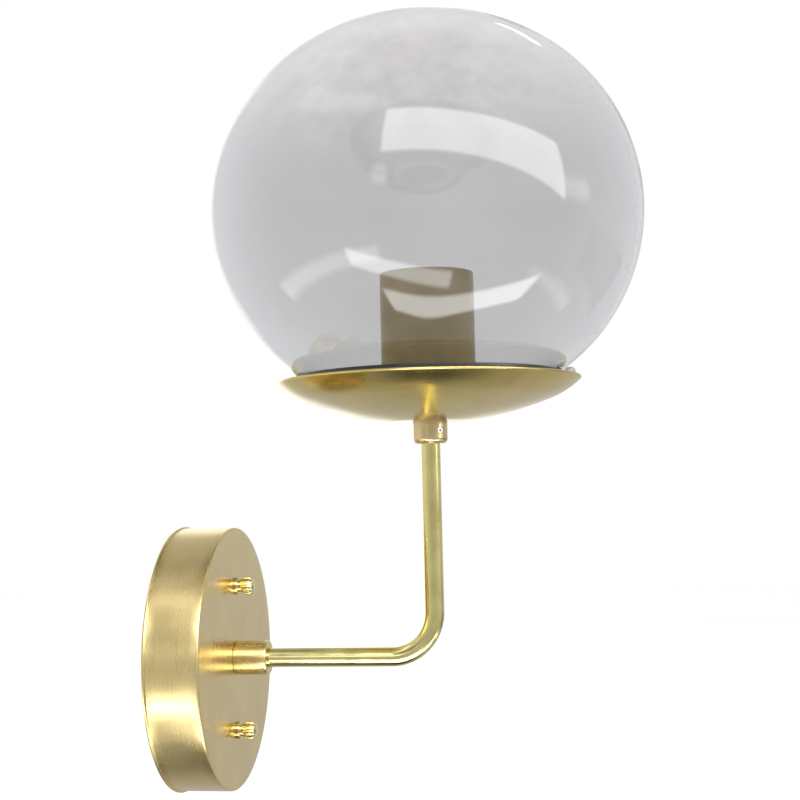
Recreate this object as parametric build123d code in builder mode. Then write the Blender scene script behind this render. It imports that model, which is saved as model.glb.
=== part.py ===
from build123d import *
from math import acos, asin, atan2, cos, degrees, hypot, pi, radians, sin, sqrt
import os

os.makedirs("parts", exist_ok=True)

# Frame: the wall is the XZ plane, the light stands out along -Y and +Z is up.
# The origin is the middle of the wall plate, on the wall.

# ---- Wall plate: a spun drum that covers the junction box -------------------
plate_radius = 60.0
plate_depth = 25.0
plate_wall = 1.2
plate_front_fillet = 0.8
bead_height = 0.8
bead_width = 1.3
rolled_edge_share = 0.45

# ---- Crossbar: the steel strap screwed to the box ---------------------------
crossbar_end_margin = 2.55
crossbar_width = 20.0
crossbar_thickness = 2.0
crossbar_corner = 4.0
box_screw_spacing = 88.9
box_slot_length = 10.0
box_slot_width = 4.8
ground_screw_offset = -16.0
ground_screw_radius = 1.9
ground_head_radius = 4.0
ground_head_height = 2.6
ground_slot_width = 1.0
ground_slot_depth = 1.1

# ---- Studs, their lock nuts and the cap nuts --------------------------------
stud_spacing = 66.0
stud_radius = 2.0
stud_past_plate = 6.0
stud_end_chamfer = 0.4
stud_nut_flats = 7.0
stud_nut_thickness = 3.2
cap_flange_radius = 4.0
cap_flange_length = 1.5
cap_neck_radius = 2.9
cap_neck_length = 1.3
cap_flare_length = 2.0
cap_head_radius = 4.0
cap_head_length = 1.4
cap_dome_height = 2.6
cap_bore_spare = 0.5
cap_flute_count = 12
cap_flute_radius = 0.6
cap_flute_depth = 0.35

# ---- Arm: threaded nipple, collar and bent tube -----------------------------
reach = 118.0
tube_radius = 4.4
tube_wall = 0.9
bend_radius = 20.0
tube_top = 103.9
nipple_radius = 5.0
nipple_bore_radius = 3.5
nipple_inside_plate = 5.8
nipple_in_collar = 6.3
nut_flats = 14.0
nut_thickness = 3.0
nut_blank_share = 0.98
nut_chamfer_share = 0.8
washer_thickness = 0.8
washer_ring_radius = 7.4
washer_tooth_radius = 8.6
washer_tooth_width = 1.6
washer_tooth_count = 12
bushing_flange_radius = 5.6
bushing_flange_thickness = 1.2
bushing_sleeve_length = 4.0
bushing_wall = 0.7
arm_collar_radius = 7.75
arm_collar_length = 15.5
arm_collar_fillet = 0.6
collar_web = 0.9
wire_hole_radius = 3.2

# ---- Holder: collar on the tube, set screw, dish and spacer -----------------
holder_radius = 7.9
holder_length = 10.2
holder_base_fillet = 2.4
holder_nipple_depth = 2.4
set_screw_radius = 1.5
set_screw_chamfer = 0.25
set_screw_drop = 2.0
set_screw_bearing = 226.0
set_screw_tip_gap = 0.1
set_screw_inset = 0.2
set_screw_key_flats = 1.5
set_screw_key_depth = 1.4
dish_radius = 69.2
dish_depth = 17.9
dish_wall = 1.2
dish_foot_radius = 18.0
dish_turn_radius = 56.0
dish_turn_height = 9.7
dish_cone_sag = 1.1
spacer_radius = 8.0
spacer_thickness = 3.0

# ---- Lampholder inside its cover --------------------------------------------
cover_radius = 21.5
cover_height = 63.8
cover_wall = 0.8
cover_corner = 1.5
strap_thickness = 1.5
strap_width = 12.0
strap_span = 30.0
strap_height = 12.8
strap_opening = 11.0
strap_bend = 1.6
socket_nipple_past_nut = 1.3
porcelain_radius = 18.5
porcelain_height = 46.0
porcelain_bore_radius = 14.0
porcelain_base = 8.0
porcelain_well_radius = 9.0
porcelain_well_depth = 6.0
porcelain_fillet = 1.0
strap_screw_spacing = 19.0
strap_screw_radius = 1.5
strap_screw_depth = 6.0
strap_screw_head_radius = 2.7
strap_screw_head_height = 1.9
shell_wall = 0.5
shell_height = 30.0
contact_width = 6.0
contact_length = 13.0
contact_thickness = 0.6
contact_rise = 5.0
terminal_width = 8.0
terminal_height = 7.0
terminal_depth = 4.0
terminal_screw_radius = 1.5
terminal_screw_length = 6.0
terminal_head_radius = 3.0
terminal_head_height = 2.0

# ---- Glass globe, its rubber seat and the pad -------------------------------
globe_radius = 100.0
globe_half_height = 92.8
globe_opening_radius = 58.5
glass_wall = 2.2
glass_edge_fillet = 0.6
seat_height = 20.0
seat_lip_height = 1.2
seat_lip_width = 0.6
seat_ledge = 0.6
glass_side_gap = 0.3
pad_circle_radius = 64.4
pad_radius = 2.5
pad_height = 22.5
pad_dome = 2.0

# ---- Fits -------------------------------------------------------------------
thread_clearance = 0.05
slip_clearance = 0.05
pass_clearance = 0.2
glass_seat_gap = 0.2

# ---- Places worked out from the sizes above ---------------------------------
plate_inner_face = plate_depth - plate_wall
stud_height = stud_spacing / 2
crossbar_length = box_screw_spacing + box_slot_length + 2 * crossbar_end_margin
nipple_back = plate_inner_face - nipple_inside_plate
nipple_front = plate_depth + nipple_in_collar
collar_web_start = nipple_front + pass_clearance
tube_start = collar_web_start + collar_web
dish_foot = tube_top + holder_nipple_depth
dish_floor = dish_foot + dish_wall
cover_base = dish_floor + spacer_thickness
strap_base = cover_base + cover_wall
strap_top = strap_base + strap_height
socket_nut_base = strap_base + strap_thickness
socket_nipple_top = socket_nut_base + nut_thickness + socket_nipple_past_nut
porcelain_floor = strap_top + porcelain_base
shell_seat = porcelain_floor + porcelain_well_depth
terminal_level = strap_top + porcelain_base / 2
terminal_seat = porcelain_radius - terminal_depth
shell_radius = porcelain_bore_radius - pass_clearance
seat_floor = dish_foot + seat_height
seat_top = seat_floor + seat_lip_height
glass_base = seat_floor + glass_seat_gap
side_arc_radius = globe_half_height * (globe_radius + globe_half_height) / (2 * globe_radius)
side_arc_offset = globe_radius - side_arc_radius
crown_arc_radius = globe_radius**2 / globe_half_height
crown_arc_drop = crown_arc_radius - globe_half_height
globe_centre = glass_base + sqrt(side_arc_radius**2 - (globe_opening_radius - side_arc_offset) ** 2)
pad_top = dish_foot + pad_height

# The dish's cone is an arc through the foot's edge and the turn, and its upturned edge is an arc
# that leaves the cone without a corner and ends at the rim.
cone_run = dish_turn_radius - dish_foot_radius
cone_chord = hypot(cone_run, dish_turn_height)
cone_arc_radius = (cone_chord**2 / 4 + dish_cone_sag**2) / (2 * dish_cone_sag)
cone_arc_distance = cone_arc_radius - dish_cone_sag
cone_arc_x = (dish_turn_radius + dish_foot_radius) / 2 - cone_arc_distance * dish_turn_height / cone_chord
cone_arc_z = dish_foot + dish_turn_height / 2 + cone_arc_distance * cone_run / cone_chord
turn_angle = atan2(dish_foot + dish_turn_height - cone_arc_z, dish_turn_radius - cone_arc_x)
edge_run = dish_radius - dish_turn_radius
edge_rise = dish_depth - dish_turn_height
edge_reach = -(edge_run * cos(turn_angle) + edge_rise * sin(turn_angle))
edge_arc_radius = (edge_run**2 + edge_rise**2) / (2 * edge_reach)
edge_arc_x = dish_turn_radius - edge_arc_radius * cos(turn_angle)
edge_arc_z = dish_foot + dish_turn_height - edge_arc_radius * sin(turn_angle)
edge_start = atan2(dish_foot + dish_turn_height - edge_arc_z, dish_turn_radius - edge_arc_x)
edge_end = atan2(dish_foot + dish_depth - edge_arc_z, dish_radius - edge_arc_x)

head_axis = Axis((0, -reach, 0), (0, 0, 1))
head_section = Plane((0, -reach, 0), x_dir=(1, 0, 0), z_dir=(0, -1, 0))


def head_level(height):
    """Horizontal plane on the axis of the upright tube."""
    return Plane((0, -reach, height), x_dir=(1, 0, 0), z_dir=(0, 0, 1))


def sleeve(plane, outer_radius, inner_radius, length):
    """Plain round sleeve standing on a plane."""
    with BuildPart() as body:
        with BuildSketch(plane):
            Circle(outer_radius)
            Circle(inner_radius, mode=Mode.SUBTRACT)
        extrude(amount=length)
    return body.part


def hex_nut(plane, flats, bore_radius, thickness):
    """Hexagon nut standing on a plane, its corners turned down on both faces."""
    blank_radius = flats / sqrt(3) * nut_blank_share
    with BuildPart() as body:
        with BuildSketch(plane):
            Circle(blank_radius)
        extrude(amount=thickness)
        chamfer(body.edges().filter_by(GeomType.CIRCLE), (blank_radius - flats / 2) * nut_chamfer_share)
        with BuildSketch(plane):
            RegularPolygon(flats / 2, 6, major_radius=False)
        extrude(amount=thickness, mode=Mode.INTERSECT)
        with BuildSketch(plane):
            Circle(bore_radius)
        extrude(amount=thickness, mode=Mode.SUBTRACT)
    return body.part


# ---- Crossbar and what is screwed to it -------------------------------------
with BuildPart() as crossbar:
    with BuildSketch(Plane.XZ):
        RectangleRounded(crossbar_width, crossbar_length, crossbar_corner)
        with GridLocations(0, box_screw_spacing, 1, 2):
            SlotOverall(box_slot_length, box_slot_width, rotation=90, mode=Mode.SUBTRACT)
        with GridLocations(0, stud_spacing, 1, 2):
            Circle(stud_radius + thread_clearance, mode=Mode.SUBTRACT)
        with Locations((0, ground_screw_offset)):
            Circle(ground_screw_radius + thread_clearance, mode=Mode.SUBTRACT)
    extrude(amount=crossbar_thickness)

with BuildPart() as ground_screw:
    with BuildSketch(Plane.XZ):
        with Locations((0, ground_screw_offset)):
            Circle(ground_screw_radius)
    extrude(amount=crossbar_thickness)
    with BuildSketch(Plane.XZ.offset(crossbar_thickness)):
        with Locations((0, ground_screw_offset)):
            Circle(ground_head_radius)
    extrude(amount=ground_head_height)
    ground_head = ground_screw.edges().filter_by(GeomType.CIRCLE).group_by(Axis.Y)[0]
    fillet(ground_head, ground_head_height - ground_slot_depth)
    with BuildSketch(Plane.XZ.offset(crossbar_thickness + ground_head_height - ground_slot_depth)):
        with Locations((0, ground_screw_offset)):
            Rectangle(2 * ground_head_radius, ground_slot_width)
            Rectangle(ground_slot_width, 2 * ground_head_radius)
    extrude(amount=ground_slot_depth, mode=Mode.SUBTRACT)

with BuildPart() as mounting_studs:
    with BuildSketch(Plane.XZ):
        with GridLocations(0, stud_spacing, 1, 2):
            Circle(stud_radius)
    extrude(amount=plate_depth + stud_past_plate)
    stud_ends = mounting_studs.edges().filter_by(GeomType.CIRCLE).group_by(Axis.Y)[0]
    chamfer(stud_ends, stud_end_chamfer)

with BuildPart() as stud_locknuts:
    for side in (-1, 1):
        nut_plane = Plane((0, -crossbar_thickness, side * stud_height), x_dir=(1, 0, 0), z_dir=(0, -1, 0))
        add(hex_nut(nut_plane, stud_nut_flats, stud_radius + thread_clearance, stud_nut_thickness))

# ---- Wall plate -------------------------------------------------------------
with BuildPart() as backplate:
    with BuildSketch(Plane.XZ):
        Circle(plate_radius)
    extrude(amount=plate_depth)
    fillet(backplate.faces().sort_by(Axis.Y)[0].edges(), plate_front_fillet)
    offset(amount=-plate_wall, openings=backplate.faces().sort_by(Axis.Y)[-1])
    with BuildSketch(Plane.XZ):
        Circle(plate_radius + bead_height)
        Circle(plate_radius - plate_wall / 2, mode=Mode.SUBTRACT)
    extrude(amount=bead_width)
    bead_edges = backplate.edges().filter_by(GeomType.CIRCLE).sort_by(SortBy.RADIUS)[-2:]
    fillet(bead_edges, bead_width * rolled_edge_share)
    with BuildSketch(Plane.XZ.offset(plate_inner_face)):
        Circle(nipple_radius + pass_clearance)
        with GridLocations(0, stud_spacing, 1, 2):
            Circle(stud_radius + pass_clearance)
    extrude(amount=plate_wall, mode=Mode.SUBTRACT)


def cap_nut(height):
    """Turned cap nut on the plate's face: flange, neck, fluted head, domed end and blind bore."""
    flange_end = plate_depth + cap_flange_length
    neck_end = flange_end + cap_neck_length
    flare_end = neck_end + cap_flare_length
    head_end = flare_end + cap_head_length
    dome_end = head_end + cap_dome_height
    dome_radius = (cap_head_radius**2 + cap_dome_height**2) / (2 * cap_dome_height)
    face = Plane((0, -plate_depth, height), x_dir=(1, 0, 0), z_dir=(0, -1, 0))
    head_start = Plane((0, -neck_end, height), x_dir=(1, 0, 0), z_dir=(0, -1, 0))
    with BuildPart() as nut:
        with BuildSketch(Plane.XY.offset(height)):
            with BuildLine():
                side = Polyline(
                    (0, -plate_depth),
                    (cap_flange_radius, -plate_depth),
                    (cap_flange_radius, -flange_end),
                    (cap_neck_radius, -flange_end),
                    (cap_neck_radius, -neck_end),
                    (cap_head_radius, -flare_end),
                    (cap_head_radius, -head_end),
                )
                dome = RadiusArc(side @ 1, (0, -dome_end), dome_radius)
                Line(dome @ 1, side @ 0)
            make_face()
        revolve(axis=Axis((0, 0, height), (0, 1, 0)))
        with BuildSketch(head_start):
            with PolarLocations(cap_head_radius + cap_flute_radius - cap_flute_depth, cap_flute_count):
                Circle(cap_flute_radius)
        extrude(amount=dome_end - neck_end, mode=Mode.SUBTRACT)
        with BuildSketch(face):
            Circle(stud_radius + thread_clearance)
        extrude(amount=stud_past_plate + cap_bore_spare, mode=Mode.SUBTRACT)
    return nut.part


with BuildPart() as upper_cap_nut:
    add(cap_nut(stud_height))

with BuildPart() as lower_cap_nut:
    add(cap_nut(-stud_height))

# ---- Nipple through the plate, with its washer, nut and bushing -------------
with BuildPart() as arm_nipple:
    add(sleeve(Plane.XZ.offset(nipple_back), nipple_radius, nipple_bore_radius, nipple_front - nipple_back))

with BuildPart() as lock_washer:
    with BuildSketch(Plane.XZ.offset(plate_inner_face - washer_thickness)):
        Circle(washer_ring_radius)
        with PolarLocations(washer_ring_radius - washer_tooth_width / 2, washer_tooth_count):
            Rectangle(2 * (washer_tooth_radius - washer_ring_radius) + washer_tooth_width, washer_tooth_width)
        Circle(nipple_radius + pass_clearance, mode=Mode.SUBTRACT)
    extrude(amount=washer_thickness)

with BuildPart() as nipple_locknut:
    locknut_plane = Plane.XZ.offset(plate_inner_face - washer_thickness - nut_thickness)
    add(hex_nut(locknut_plane, nut_flats, nipple_radius + thread_clearance, nut_thickness))

with BuildPart() as nipple_bushing:
    sleeve_radius = nipple_bore_radius - slip_clearance
    with BuildSketch(Plane.XZ.offset(nipple_back - bushing_flange_thickness)):
        Circle(bushing_flange_radius)
    extrude(amount=bushing_flange_thickness)
    fillet(nipple_bushing.faces().sort_by(Axis.Y)[-1].edges(), bushing_flange_thickness / 2)
    with BuildSketch(Plane.XZ.offset(nipple_back)):
        Circle(sleeve_radius)
    extrude(amount=bushing_sleeve_length)
    with BuildSketch(Plane.XZ.offset(nipple_back - bushing_flange_thickness)):
        Circle(sleeve_radius - bushing_wall)
    extrude(amount=bushing_flange_thickness + bushing_sleeve_length, mode=Mode.SUBTRACT)

with BuildPart() as arm_collar:
    with BuildSketch(Plane.XZ.offset(plate_depth)):
        Circle(arm_collar_radius)
    extrude(amount=arm_collar_length)
    fillet(arm_collar.faces().sort_by(Axis.Y)[0].edges(), arm_collar_fillet)
    with BuildSketch(Plane.XZ.offset(plate_depth)):
        Circle(nipple_radius + thread_clearance)
    extrude(amount=collar_web_start - plate_depth, mode=Mode.SUBTRACT)
    with BuildSketch(Plane.XZ.offset(plate_depth)):
        Circle(wire_hole_radius)
    extrude(amount=arm_collar_length, mode=Mode.SUBTRACT)
    with BuildSketch(Plane.XZ.offset(tube_start)):
        Circle(tube_radius + slip_clearance)
    extrude(amount=plate_depth + arm_collar_length - tube_start, mode=Mode.SUBTRACT)

with BuildPart() as arm_tube:
    with BuildLine(Plane.YZ):
        FilletPolyline((-tube_start, 0), (-reach, 0), (-reach, tube_top), radius=bend_radius)
    with BuildSketch(Plane.XZ.offset(tube_start)):
        Circle(tube_radius)
        Circle(tube_radius - tube_wall, mode=Mode.SUBTRACT)
    sweep()

# ---- Holder: collar, set screw, dish and spacer -----------------------------
screw_level = tube_top - set_screw_drop
screw_outward = (cos(radians(set_screw_bearing)), sin(radians(set_screw_bearing)), 0)
screw_axis_plane = Plane((0, -reach, screw_level), x_dir=(0, 0, 1), z_dir=screw_outward)
screw_tip = tube_radius + set_screw_tip_gap
screw_end = holder_radius - set_screw_inset

with BuildPart() as holder_collar:
    with BuildSketch(head_level(dish_foot - holder_length)):
        Circle(holder_radius)
    extrude(amount=holder_length)
    fillet(holder_collar.faces().sort_by(Axis.Z)[0].edges(), holder_base_fillet)
    with BuildSketch(head_level(dish_foot - holder_length)):
        Circle(tube_radius + slip_clearance)
    extrude(amount=holder_length, mode=Mode.SUBTRACT)
    with BuildSketch(head_level(tube_top)):
        Circle(nipple_radius + thread_clearance)
    extrude(amount=holder_nipple_depth, mode=Mode.SUBTRACT)
    with BuildSketch(screw_axis_plane):
        Circle(set_screw_radius + thread_clearance)
    extrude(amount=2 * holder_radius, mode=Mode.SUBTRACT)

with BuildPart() as set_screw:
    with BuildSketch(screw_axis_plane.offset(screw_tip)):
        Circle(set_screw_radius)
    extrude(amount=screw_end - screw_tip)
    chamfer(set_screw.edges().filter_by(GeomType.CIRCLE), set_screw_chamfer)
    with BuildSketch(screw_axis_plane.offset(screw_end)):
        RegularPolygon(set_screw_key_flats / 2, 6, major_radius=False)
    extrude(amount=-set_screw_key_depth, mode=Mode.SUBTRACT)


def dish_line(inset):
    """Half section of the dish on the surface that lies inside its underside by inset: flat foot,
    shallow cone and upturned edge. Gives the line's end on the axis and its end at the rim."""
    radius = cone_arc_radius - inset
    start_angle = acos((cone_arc_z - dish_foot - inset) / radius) - pi / 2
    cone_sweep = degrees(turn_angle - start_angle)
    cone = CenterArc((cone_arc_x, cone_arc_z), radius, degrees(start_angle), cone_sweep)
    edge_radius = abs(edge_arc_radius - inset)
    edge_sweep = degrees(edge_end - edge_start)
    edge = CenterArc((edge_arc_x, edge_arc_z), edge_radius, degrees(edge_start), edge_sweep)
    foot = Line((0, dish_foot + inset), cone @ 0)
    return foot @ 0, edge @ 1


with BuildPart() as dish:
    with BuildSketch(head_section):
        with BuildLine():
            under_middle, under_rim = dish_line(0)
            over_middle, over_rim = dish_line(dish_wall)
            Line(under_rim, over_rim)
            Line(over_middle, under_middle)
        make_face()
    revolve(axis=head_axis)
    fillet(dish.faces().sort_by(Axis.Z)[-1].edges(), dish_wall * rolled_edge_share)
    with BuildSketch(head_level(dish_foot)):
        Circle(nipple_radius + pass_clearance)
    extrude(amount=dish_wall, mode=Mode.SUBTRACT)

with BuildPart() as dish_spacer:
    spacer_bore = nipple_radius + pass_clearance
    add(sleeve(head_level(dish_floor), spacer_radius, spacer_bore, spacer_thickness))

# ---- Lampholder: cover, strap, nipple, porcelain body and contacts ----------
with BuildPart() as socket_cover:
    with BuildSketch(head_level(cover_base)):
        Circle(cover_radius)
    extrude(amount=cover_height)
    fillet(socket_cover.faces().sort_by(Axis.Z)[0].edges(), cover_corner)
    offset(amount=-cover_wall, openings=socket_cover.faces().sort_by(Axis.Z)[-1])
    with BuildSketch(head_level(cover_base)):
        Circle(nipple_radius + pass_clearance)
    extrude(amount=cover_wall, mode=Mode.SUBTRACT)

with BuildPart() as lampholder_strap:
    strap_side = (strap_span - strap_thickness) / 2
    strap_floor = strap_base + strap_thickness / 2
    strap_roof = strap_top - strap_thickness / 2
    with BuildSketch(head_section):
        with BuildLine():
            FilletPolyline(
                (strap_opening / 2, strap_roof),
                (strap_side, strap_roof),
                (strap_side, strap_floor),
                (-strap_side, strap_floor),
                (-strap_side, strap_roof),
                (-strap_opening / 2, strap_roof),
                radius=strap_bend,
            )
        trace(line_width=strap_thickness)
    extrude(amount=strap_width / 2, both=True)
    with BuildSketch(head_level(strap_base)):
        Circle(nipple_radius + pass_clearance)
    extrude(amount=strap_thickness, mode=Mode.SUBTRACT)
    with BuildSketch(head_level(strap_top)):
        with GridLocations(strap_screw_spacing, 0, 2, 1):
            Circle(strap_screw_radius + pass_clearance)
    extrude(amount=-strap_thickness, mode=Mode.SUBTRACT)

with BuildPart() as socket_nipple:
    add(sleeve(head_level(tube_top), nipple_radius, nipple_bore_radius, socket_nipple_top - tube_top))

with BuildPart() as socket_locknut:
    add(hex_nut(head_level(socket_nut_base), nut_flats, nipple_radius + thread_clearance, nut_thickness))

with BuildPart() as lampholder_body:
    with BuildSketch(head_level(strap_top)):
        Circle(porcelain_radius)
    extrude(amount=porcelain_height)
    fillet(lampholder_body.edges().filter_by(GeomType.CIRCLE), porcelain_fillet)
    with BuildSketch(head_level(porcelain_floor)):
        Circle(porcelain_well_radius)
    extrude(amount=porcelain_height, mode=Mode.SUBTRACT)
    with BuildSketch(head_level(shell_seat)):
        Circle(porcelain_bore_radius)
    extrude(amount=porcelain_height, mode=Mode.SUBTRACT)
    with BuildSketch(head_level(strap_top)):
        with GridLocations(strap_screw_spacing, 0, 2, 1):
            Circle(strap_screw_radius + thread_clearance)
    extrude(amount=strap_screw_depth + pass_clearance, mode=Mode.SUBTRACT)
    for outward in (-1, 1):
        terminal_face = Plane((0, -reach, terminal_level), x_dir=(1, 0, 0), z_dir=(0, outward, 0))
        with BuildSketch(terminal_face.offset(terminal_seat)):
            RectangleRounded(terminal_width, terminal_height, porcelain_fillet)
        extrude(amount=2 * terminal_depth, mode=Mode.SUBTRACT)
        with BuildSketch(terminal_face.offset(terminal_seat)):
            Circle(terminal_screw_radius + thread_clearance)
        extrude(amount=-(terminal_screw_length + pass_clearance), mode=Mode.SUBTRACT)

with BuildPart() as strap_screws:
    screw_head_base = strap_top - strap_thickness - strap_screw_head_height
    with BuildSketch(head_level(screw_head_base)):
        with GridLocations(strap_screw_spacing, 0, 2, 1):
            Circle(strap_screw_head_radius)
    extrude(amount=strap_screw_head_height)
    fillet(strap_screws.faces().group_by(Axis.Z)[0].edges(), strap_screw_head_height / 2)
    with BuildSketch(head_level(screw_head_base + strap_screw_head_height)):
        with GridLocations(strap_screw_spacing, 0, 2, 1):
            Circle(strap_screw_radius)
    extrude(amount=strap_thickness + strap_screw_depth)

with BuildPart() as terminal_screws:
    for outward in (-1, 1):
        terminal_face = Plane((0, -reach, terminal_level), x_dir=(1, 0, 0), z_dir=(0, outward, 0))
        slot_depth = terminal_head_height / 2
        with BuildSketch(terminal_face.offset(terminal_seat)):
            Circle(terminal_head_radius)
        extrude(amount=terminal_head_height)
        with BuildSketch(terminal_face.offset(terminal_seat + terminal_head_height - slot_depth)):
            Rectangle(2 * terminal_head_radius, slot_depth)
        extrude(amount=slot_depth, mode=Mode.SUBTRACT)
        with BuildSketch(terminal_face.offset(terminal_seat)):
            Circle(terminal_screw_radius)
        extrude(amount=-terminal_screw_length)

with BuildPart() as screw_shell:
    with BuildSketch(head_level(shell_seat)):
        Circle(shell_radius)
        Circle(porcelain_well_radius, mode=Mode.SUBTRACT)
    extrude(amount=shell_wall)
    with BuildSketch(head_level(shell_seat)):
        Circle(shell_radius)
        Circle(shell_radius - shell_wall, mode=Mode.SUBTRACT)
    extrude(amount=shell_height)

with BuildPart() as centre_contact:
    contact_floor = porcelain_floor + contact_thickness / 2
    contact_end = contact_length / 2
    contact_bend = contact_rise / 2
    with BuildSketch(head_section):
        with BuildLine():
            foot = Line((contact_end, contact_floor), (contact_bend - contact_end, contact_floor))
            bend = JernArc(foot @ 1, (-1, 0), contact_bend, -180)
            Line(bend @ 1, (contact_bend, contact_floor + contact_rise))
        trace(line_width=contact_thickness)
    extrude(amount=contact_width / 2, both=True)

# ---- Rubber seat, pad and glass ---------------------------------------------
def globe_side(height, inset):
    """Radius of the globe's lower side at a height, on the surface that lies inside it by inset."""
    return side_arc_offset + sqrt((side_arc_radius - inset) ** 2 - (height - globe_centre) ** 2)


def bowl_outline():
    """Half section of the room above the inside of the dish, up past the seat and the pad."""
    ceiling = max(seat_top, pad_top) + dish_wall
    middle, rim = dish_line(dish_wall)
    Polyline((rim.X, rim.Y), (rim.X, ceiling), (0, ceiling), (middle.X, middle.Y))


with BuildPart() as seat_ring:
    corner = (Align.MIN, Align.MIN)
    rebate_radius = globe_side(seat_top, 0) + glass_side_gap
    ring_bore = globe_side(glass_base, glass_wall) - seat_ledge
    ring_width = rebate_radius + seat_lip_width - ring_bore
    with BuildSketch(head_section):
        with BuildLine():
            bowl_outline()
        make_face()
        with Locations((ring_bore, dish_foot)):
            Rectangle(ring_width, seat_top - dish_foot, align=corner, mode=Mode.INTERSECT)
        with Locations((ring_bore, seat_floor)):
            Rectangle(rebate_radius - ring_bore, seat_lip_height, align=corner, mode=Mode.SUBTRACT)
    revolve(axis=head_axis)

with BuildPart() as bumper_pad:
    with BuildSketch(head_section):
        with BuildLine():
            bowl_outline()
        make_face()
    revolve(axis=head_axis)
    with BuildSketch(head_level(dish_foot)):
        with Locations((0, -pad_circle_radius)):
            Circle(pad_radius)
    extrude(amount=pad_height, mode=Mode.INTERSECT)
    fillet(bumper_pad.faces().group_by(Axis.Z)[-1].edges(), pad_dome)

with BuildPart() as glass_globe:
    side_middle = (side_arc_offset, globe_centre)
    crown_middle = (0, globe_centre - crown_arc_drop)
    crown_start = degrees(atan2(abs(crown_arc_drop), abs(side_arc_offset)))
    with BuildSketch(head_section) as glass_section:
        with BuildLine():
            walls = []
            for inset in (0, glass_wall):
                mouth_angle = degrees(asin((globe_centre - glass_base) / (side_arc_radius - inset)))
                side_sweep = mouth_angle + crown_start
                side = CenterArc(side_middle, side_arc_radius - inset, -mouth_angle, side_sweep)
                crown = CenterArc(crown_middle, crown_arc_radius - inset, crown_start, 90 - crown_start)
                walls.append((side, crown))
            Line(walls[0][0] @ 0, walls[1][0] @ 0)
            Line(walls[0][1] @ 1, walls[1][1] @ 1)
        make_face()
        fillet(glass_section.vertices().group_by(Axis.Y)[0], glass_edge_fillet)
    revolve(axis=head_axis)

pieces = {
    "crossbar": crossbar,
    "ground_screw": ground_screw,
    "mounting_studs": mounting_studs,
    "stud_locknuts": stud_locknuts,
    "backplate": backplate,
    "upper_cap_nut": upper_cap_nut,
    "lower_cap_nut": lower_cap_nut,
    "arm_nipple": arm_nipple,
    "lock_washer": lock_washer,
    "nipple_locknut": nipple_locknut,
    "nipple_bushing": nipple_bushing,
    "arm_collar": arm_collar,
    "arm_tube": arm_tube,
    "holder_collar": holder_collar,
    "set_screw": set_screw,
    "dish": dish,
    "dish_spacer": dish_spacer,
    "socket_cover": socket_cover,
    "lampholder_strap": lampholder_strap,
    "socket_nipple": socket_nipple,
    "socket_locknut": socket_locknut,
    "lampholder_body": lampholder_body,
    "strap_screws": strap_screws,
    "terminal_screws": terminal_screws,
    "screw_shell": screw_shell,
    "centre_contact": centre_contact,
    "seat_ring": seat_ring,
    "bumper_pad": bumper_pad,
    "glass_globe": glass_globe,
}
for name, piece in pieces.items():
    piece.part.label = name
    export_step(piece.part, f"parts/{name}.step")
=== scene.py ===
from math import cos, degrees, pi, radians, sin

import bpy
import numpy as np
from mathutils import Matrix, Vector


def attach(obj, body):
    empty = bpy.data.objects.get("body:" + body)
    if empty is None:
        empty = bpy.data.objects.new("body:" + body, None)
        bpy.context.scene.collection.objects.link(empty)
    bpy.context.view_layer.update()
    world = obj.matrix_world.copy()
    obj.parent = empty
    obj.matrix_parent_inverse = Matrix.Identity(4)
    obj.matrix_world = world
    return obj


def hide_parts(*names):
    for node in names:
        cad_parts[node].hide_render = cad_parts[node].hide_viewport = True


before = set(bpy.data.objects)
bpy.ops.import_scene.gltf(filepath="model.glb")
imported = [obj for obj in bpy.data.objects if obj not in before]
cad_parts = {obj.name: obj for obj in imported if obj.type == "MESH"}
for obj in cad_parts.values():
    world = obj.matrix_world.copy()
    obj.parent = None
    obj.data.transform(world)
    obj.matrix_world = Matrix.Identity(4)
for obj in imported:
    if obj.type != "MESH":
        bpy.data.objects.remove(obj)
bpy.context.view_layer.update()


# ---- Wall plate ------------------------------------------------------------------------------
# A drum spun from thin brass sheet that hides the junction box. Its face and rim are satin
# brushed, and the sheet is rolled into a small bead where it meets the wall.
def rounded(corners, arc_steps=6, longest=0.004):
    """Outline through corners (a, b, fillet): each corner is cut back along both of its sides by
    the fillet's tangent length and bridged by an arc, and long sides get points in between."""
    corners = np.array(corners, float)
    count = len(corners)
    chain = []
    for i in range(count):
        here = corners[i, :2]
        back = corners[i - 1, :2] - here
        ahead = corners[(i + 1) % count, :2] - here
        fillet = corners[i, 2]
        if fillet <= 0:
            chain.append(here)
            continue
        back /= np.linalg.norm(back)
        ahead /= np.linalg.norm(ahead)
        half_angle = np.arccos(np.clip(back @ ahead, -1, 1)) / 2
        bisector = (back + ahead) / np.linalg.norm(back + ahead)
        middle = here + bisector * fillet / np.sin(half_angle)
        start = here + back * fillet / np.tan(half_angle) - middle
        end = here + ahead * fillet / np.tan(half_angle) - middle
        first = np.arctan2(start[1], start[0])
        turn = (np.arctan2(end[1], end[0]) - first + pi) % (2 * pi) - pi
        angles = first + turn * np.linspace(0, 1, arc_steps + 1)
        chain.extend(middle + fillet * np.stack([np.cos(angles), np.sin(angles)], 1))
    chain = np.array(chain)
    ahead = np.roll(chain, -1, axis=0)
    pieces = np.maximum(np.ceil(np.linalg.norm(ahead - chain, axis=1) / longest).astype(int), 1)
    return np.concatenate(
        [a + (b - a) * (np.arange(n) / n)[:, None] for a, b, n in zip(chain, ahead, pieces)]
    )


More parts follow.
